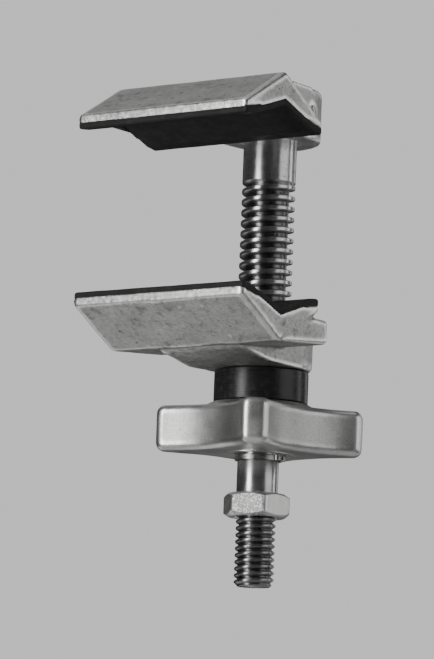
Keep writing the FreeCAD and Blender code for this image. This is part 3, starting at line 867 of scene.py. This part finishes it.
def make_screw():
    """One bar: stud thread, plain shank with a ring groove, acme thread and plain top.

    Its attribute groove is 1 at a thread's root and lowest on its crest. The steel is darkened by it:
    painted shade in the thread roots, and the whole stud darker as well.
    """
    verts = []
    faces = []
    depths = []
    rings = []

    def add_ring(radius, z):
        rings.append(len(verts))
        for column in range(COLUMNS):
            angle = column / COLUMNS * TURN
            verts.append((radius * math.cos(angle), radius * math.sin(angle), z))
            depths.append(0.0)

    def add_thread(spot, rows, per_turn, depth_seen, least_darkening):
        first = len(verts)
        for row in range(rows):
            for column in range(COLUMNS):
                angle = column / COLUMNS * TURN
                radius, z, depth = spot(row, column / COLUMNS)
                verts.append((radius * math.cos(angle), radius * math.sin(angle), z))
                # the groove attribute: painted shade growing towards the root, above a least
                # darkening all along the thread
                depths.append(least_darkening + (1 - least_darkening) * depth / depth_seen)
        for row in range(rows - 1):
            for column in range(COLUMNS):
                here = first + row * COLUMNS + column
                if column < COLUMNS - 1:
                    beside = here + 1
                    above = beside + COLUMNS
                else:
                    beside = first + min(row + per_turn, rows - 1) * COLUMNS
                    above = first + min(row + per_turn + 1, rows - 1) * COLUMNS
                faces.append([here, beside, above, here + COLUMNS])
        rings.extend([first, None, first + (rows - 1) * COLUMNS])

    stud = thread_profile(STUD_PITCH, STUD_DEPTH, STUD_ROOT, STUD_FLANK, 0.28, 0.24)
    stud_turns = thread_rows(stud, STUD_PITCH, 0.0, STUD_HIGH - 1.6, STUD_RADIUS,
                             lambda z: STUD_RADIUS - BAR_CHAMFER + z, 0.01, 1.2)
    acme = thread_profile(ACME_PITCH, ACME_DEPTH, ACME_ROOT, ACME_FLANK, 0.24, 0.22)
    acme_turns = thread_rows(acme, ACME_PITCH, ACME_LOW, ACME_HIGH, SCREW_RADIUS,
                             lambda z: SHANK_RADIUS + (z - ACME_LOW) * 1.2, 0.8, 1.6)

    add_ring(0.0, 0.0)
    add_ring(STUD_RADIUS - BAR_CHAMFER - 0.2, 0.0)
    # the stud's thread is never less than 0.6 dark, so the whole stud is painted darker
    add_thread(*stud_turns, STUD_DEPTH, 0.6)
    add_ring(STUD_RADIUS, STUD_HIGH - 0.8)
    add_ring(SHANK_RADIUS, STUD_HIGH - 0.4)
    ring_low, ring_high = node_box("stop_ring")
    groove = SHANK_RADIUS - RING_GROOVE_DEPTH
    for radius, z in (
        (SHANK_RADIUS, ring_low.z - 0.2),
        (SHANK_RADIUS - 0.1, ring_low.z - 0.1),
        (groove, ring_low.z - 0.1),
        (groove, ring_high.z + 0.1),
        (SHANK_RADIUS - 0.1, ring_high.z + 0.1),
        (SHANK_RADIUS, ring_high.z + 0.2),
    ):
        add_ring(radius, z)
    add_thread(*acme_turns, ACME_DEPTH, 0.0)
    for radius, z in (
        (SCREW_RADIUS, ACME_HIGH + 0.5),
        (SCREW_RADIUS, SCREW_TOP - BAR_CHAMFER),
        (SCREW_RADIUS - 0.08, SCREW_TOP - 0.75),
        (SCREW_RADIUS - 0.75, SCREW_TOP - 0.05),
        (SCREW_RADIUS - BAR_CHAMFER, SCREW_TOP),
        (0.0, SCREW_TOP),
    ):
        add_ring(radius, z)
    for below, above in zip(rings, rings[1:]):
        if below is None or above is None:
            continue
        for column in range(COLUMNS):
            after = (column + 1) % COLUMNS
            faces.append([below + column, below + after, above + after, above + column])
    mesh = bpy.data.meshes.new("clamp_screw_bar")
    mesh.from_pydata([Vector(vert) * MM for vert in verts], [], faces)
    layer = mesh.attributes.new("groove", "FLOAT", "POINT")
    layer.data.foreach_set("value", depths)
    screw = bpy.data.objects.new("clamp_screw_bar", mesh)
    bpy.context.scene.collection.objects.link(screw)
    clean(screw)
    keyway = rounded_prism("keyway", rounded_outline([
        (-KEYWAY_HALF, KEYWAY_LOW, 0.4),
        (KEYWAY_HALF, KEYWAY_LOW, 0.4),
        (KEYWAY_HALF, KEYWAY_HIGH, 0.4),
        (-KEYWAY_HALF, KEYWAY_HIGH, 0.4),
    ]), KEYWAY_FLOOR, SCREW_RADIUS + 2.65, 0.05, lambda a, b, height: (a, height, b))
    carve(screw, [keyway, pin_cutter()])
    shade(screw, sharp=50)
    dress(screw, "screw_frame", "clamp_screw", "turned_steel")


# --- knob, sleeve and nut --------------------------------------------------------------------

def arc(centre, radius, start, end, step=0.4):
    """Points along an arc, its last one left to whatever follows."""
    count = max(2, math.ceil(abs(end - start) * radius / step))
    angles = [start + (end - start) * number / count for number in range(count)]
    return [centre + Vector((math.cos(a), math.sin(a))) * radius for a in angles]


def star_outline():
    """Four arms: tip arcs about the axis, rounded corners, and a wide scoop between each pair."""
    corner = GRIP_ROUND + 0.15
    reach = KNOB_RADIUS - corner
    swing = math.acos((reach ** 2 + SCOOP_MIDDLE ** 2 - (SCOOP_RADIUS + corner) ** 2)
                      / (2 * reach * SCOOP_MIDDLE))
    points = []
    for arm in range(4):
        scoop_at = KNOB_TURN + arm * TURN / 4
        scoop = Vector((math.cos(scoop_at), math.sin(scoop_at))) * SCOOP_MIDDLE
        tip_end = scoop_at - swing
        first = Vector((math.cos(tip_end), math.sin(tip_end))) * reach
        second_at = scoop_at + swing
        second = Vector((math.cos(second_at), math.sin(second_at))) * reach
        to_scoop = math.atan2(*(scoop - first).yx)
        from_scoop = math.atan2(*(first - scoop).yx)
        half_scoop = abs(math.remainder(from_scoop - (scoop_at + TURN / 2), TURN))
        bend = math.remainder(to_scoop - tip_end, TURN)
        points += arc(Vector((0, 0)), KNOB_RADIUS, scoop_at - TURN / 8, tip_end)
        points += arc(first, corner, tip_end, tip_end + bend)
        middle = scoop_at + TURN / 2
        points += arc(scoop, SCOOP_RADIUS, middle + half_scoop, middle - half_scoop)
        points += arc(second, corner, second_at - bend, second_at)
        points += arc(Vector((0, 0)), KNOB_RADIUS, second_at, scoop_at + TURN / 8)
    return points


def make_knob():
    star = rounded_prism("star", star_outline(), KNOB_LOW + SKIN, KNOB_FACE, GRIP_ROUND, along_z,
                         steps=7)
    sleeve_radius = node_box("thrust_sleeve")[1].x
    collar = lathe("collar", rounded_outline([
        (0, KNOB_LOW + 2, 0),
        (sleeve_radius + COLLAR_WALL, KNOB_LOW + 2, 0),
        (sleeve_radius + COLLAR_WALL, KNOB_FACE - 0.2, 0),
        (sleeve_radius + 0.5, KNOB_HIGH, 0.3),
        (0, KNOB_HIGH, 0),
    ]))
    knob = cast("star_knob", [star, collar], passes=4)
    roughen(knob, [(8.0, 0.08), (2.5, 0.025)])
    bore = rod_cutter("bore", HUB_RADIUS, KNOB_LOW - OVERRUN, KNOB_HIGH + OVERRUN,
                      Matrix.Identity(4))
    carve(knob, [bore])
    mark_edges(knob, full=0.05)
    shade(knob)
    dress(knob, "knob", "knob", "knob_aluminium")


def make_sleeve():
    low, high = node_box("thrust_sleeve")
    outline = rounded_outline([
        (SLEEVE_BORE, low.z, 0.1),
        (high.x, low.z, 0.3),
        (high.x, high.z, 0.3),
        (SLEEVE_BORE, high.z, 0.1),
    ], step=0.1)
    sleeve = lathe("thrust_sleeve_turned", outline)
    shade(sleeve)
    dress(sleeve, "lower_jaw", "thrust_sleeve", "black_plastic")


def make_jam_nut():
    """A hexagon with both faces chamfered, its corners eased and one flat galled."""
    low, high = node_box("jam_nut")
    per_side = 20
    bore = STUD_RADIUS + 0.08
    fall = math.tan(math.radians(30))
    verts = []
    galled = []
    for side in range(6):
        for number in range(per_side):
            share = 2 * number / per_side - 1
            off = math.radians(30) * (1.5 * share - 0.5 * share ** 3)
            angle = NUT_TURN + math.radians(30 + 60 * side) + off
            edge = min(NUT_FLATS / 2 / math.cos(off), NUT_FLATS / math.sqrt(3) - NUT_CORNER_EASE)
            drop = (edge - NUT_FACE) * fall
            slope = [(bore, 0.6), (bore + 0.6, 0), (NUT_FACE - 0.1, 0), (NUT_FACE, 0.03),
                     (edge - 0.15, drop), (edge, drop + 0.15)]
            section = [(radius, low.z + rise) for radius, rise in slope]
            section += [(edge, low.z + (high.z - low.z) * share_up / 8) for share_up in range(3, 6)]
            section += [(radius, high.z - rise) for radius, rise in reversed(slope)]
            facing = math.cos(angle - GALLED_AT)
            for radius, z in section:
                verts.append((radius * math.cos(angle), radius * math.sin(angle), z))
                galled.append(1.0 if facing > math.cos(math.radians(29)) else 0.0)
    rows = len(section)
    columns = 6 * per_side
    faces = []
    for column in range(columns):
        start = column * rows
        other = (column + 1) % columns * rows
        for row in range(rows):
            after = (row + 1) % rows
            faces.append([start + row, other + row, other + after, start + after])
    mesh = bpy.data.meshes.new("jam_nut_hexagon")
    mesh.from_pydata([Vector(vert) * MM for vert in verts], [], faces)
    mesh.attributes.new("galled", "FLOAT", "POINT").data.foreach_set("value", galled)
    nut = bpy.data.objects.new("jam_nut_hexagon", mesh)
    bpy.context.scene.collection.objects.link(nut)
    clean(nut)
    shade(nut, sharp=28)
    dress(nut, "jam_nut", "jam_nut", "plated_steel")


# --- CAD nodes that stay ---------------------------------------------------------------------

KEPT_NODES = {
    "jaw_cross_pin": "spring_steel",
    "stop_ring": "spring_steel",
    "guide_screw": "spring_steel",
    "retaining_ring": "spring_steel",
    "thrust_washer": "bronze",
    "knob_nut": "plated_steel",
}


def dress_kept_nodes():
    for node, slot in KEPT_NODES.items():
        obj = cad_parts[node]
        for number in range(len(obj.material_slots)):
            obj.material_slots[number].material = MATERIALS[slot]


# --- stage, lights and camera ----------------------------------------------------------------

CENTRE = Vector((0, 0, 61.1)) * MM
FLOOR_HEIGHT = -600.0
FLOOR_REACH = 9000.0
ROOM = 0.055                                     # brightness of the room in reflections
BACKDROP = 0.72

CAMERA_AZIMUTH = 35.746
CAMERA_ELEVATION = -8.378
CAMERA_DISTANCE = 0.9995
CAMERA_ROLL = math.radians(2.221)
CAMERA_PAN = math.radians(0.628)
CAMERA_LENS = 230.7

# Name, azimuth, elevation, distance, width and height in metres, and power.
LIGHTS = [
    ("key", -13, 4, 0.70, 0.20, 1.00, 6.0),
    ("right", 102, 8, 0.75, 0.55, 0.70, 1.5),
    ("right_strip", 143, 8, 0.75, 0.14, 0.70, 0.7),
    ("top", 10, 78, 0.80, 0.80, 0.80, 1.2),
    ("back", 180, 0, 0.80, 0.14, 1.30, 0.7),
    ("back_left", -125, 42, 0.80, 0.60, 0.60, 0.45),
    ("low_left", -104, -50, 0.80, 0.60, 0.60, 0.75),
]


def direction(azimuth, elevation):
    """From the object towards a viewer: azimuth 0 stands at -Y, 90 at +X."""
    a = math.radians(azimuth)
    e = math.radians(elevation)
    return Vector((math.sin(a) * math.cos(e), -math.cos(a) * math.cos(e), math.sin(e)))


def add_light(name, azimuth, elevation, distance, width, height, power):
    data = bpy.data.lights.new(name, "AREA")
    data.shape = "RECTANGLE"
    data.size = width
    data.size_y = height
    data.energy = power
    light = bpy.data.objects.new(name, data)
    towards = direction(azimuth, elevation)
    light.location = CENTRE + towards * distance
    light.rotation_mode = "QUATERNION"
    light.rotation_quaternion = (-towards).to_track_quat("-Z", "Y")
    light.visible_camera = False
    bpy.context.scene.collection.objects.link(light)


def add_floor():
    """A plain pale floor, below a low camera. It shows pale and lights the clamp only a little."""
    count = 64
    angles = [number / count * TURN for number in range(count)]
    rim = [(FLOOR_REACH * math.cos(a), FLOOR_REACH * math.sin(a), FLOOR_HEIGHT) for a in angles]
    floor = new_object("floor", rim, [list(range(count))])
    material = bpy.data.materials.new("floor_paint")
    material.use_nodes = True
    tree = material.node_tree
    shader = tree.nodes["Principled BSDF"]
    shader.inputs["Base Color"].default_value = grey(0.78)
    shader.inputs["Roughness"].default_value = 0.9
    shader.inputs["Emission Color"].default_value = grey(0.62)
    path = tree.nodes.new("ShaderNodeLightPath")
    tree.links.new(path.outputs["Is Camera Ray"], shader.inputs["Emission Strength"])
    floor.data.materials.append(material)


def add_world():
    """A dim room for the metal to reflect, seen by the camera as a plain pale backdrop."""
    world = bpy.data.worlds.new("studio")
    bpy.context.scene.world = world
    world.use_nodes = True
    tree = world.node_tree
    tree.nodes.clear()
    output = tree.nodes.new("ShaderNodeOutputWorld")
    mix = tree.nodes.new("ShaderNodeMixShader")
    path = tree.nodes.new("ShaderNodeLightPath")
    room = tree.nodes.new("ShaderNodeBackground")
    backdrop = tree.nodes.new("ShaderNodeBackground")
    room.inputs["Color"].default_value = grey(ROOM)
    backdrop.inputs["Color"].default_value = grey(BACKDROP)
    tree.links.new(path.outputs["Is Camera Ray"], mix.inputs["Fac"])
    tree.links.new(room.outputs[0], mix.inputs[1])
    tree.links.new(backdrop.outputs[0], mix.inputs[2])
    tree.links.new(mix.outputs[0], output.inputs["Surface"])


def add_camera():
    data = bpy.data.cameras.new("photo_view")
    data.sensor_width = 36.0
    data.lens = CAMERA_LENS
    camera = bpy.data.objects.new("photo_view", data)
    bpy.context.scene.collection.objects.link(camera)
    back = direction(CAMERA_AZIMUTH, CAMERA_ELEVATION)
    roll = Quaternion((0, 0, 1), CAMERA_ROLL)
    pan = Quaternion((0, 1, 0), CAMERA_PAN)
    camera.rotation_mode = "QUATERNION"
    camera.rotation_quaternion = (-back).to_track_quat("-Z", "Y") @ roll @ pan
    camera.location = CENTRE + back * CAMERA_DISTANCE
    bpy.context.scene.camera = camera


make_upper_jaw()
make_lower_jaw()
make_liner(UPPER, "screw_frame")
make_liner(LOWER, "lower_jaw")
make_screw()
make_knob()
make_sleeve()
make_jam_nut()
dress_kept_nodes()

add_floor()
add_world()
for light in LIGHTS:
    add_light(*light)
add_camera()
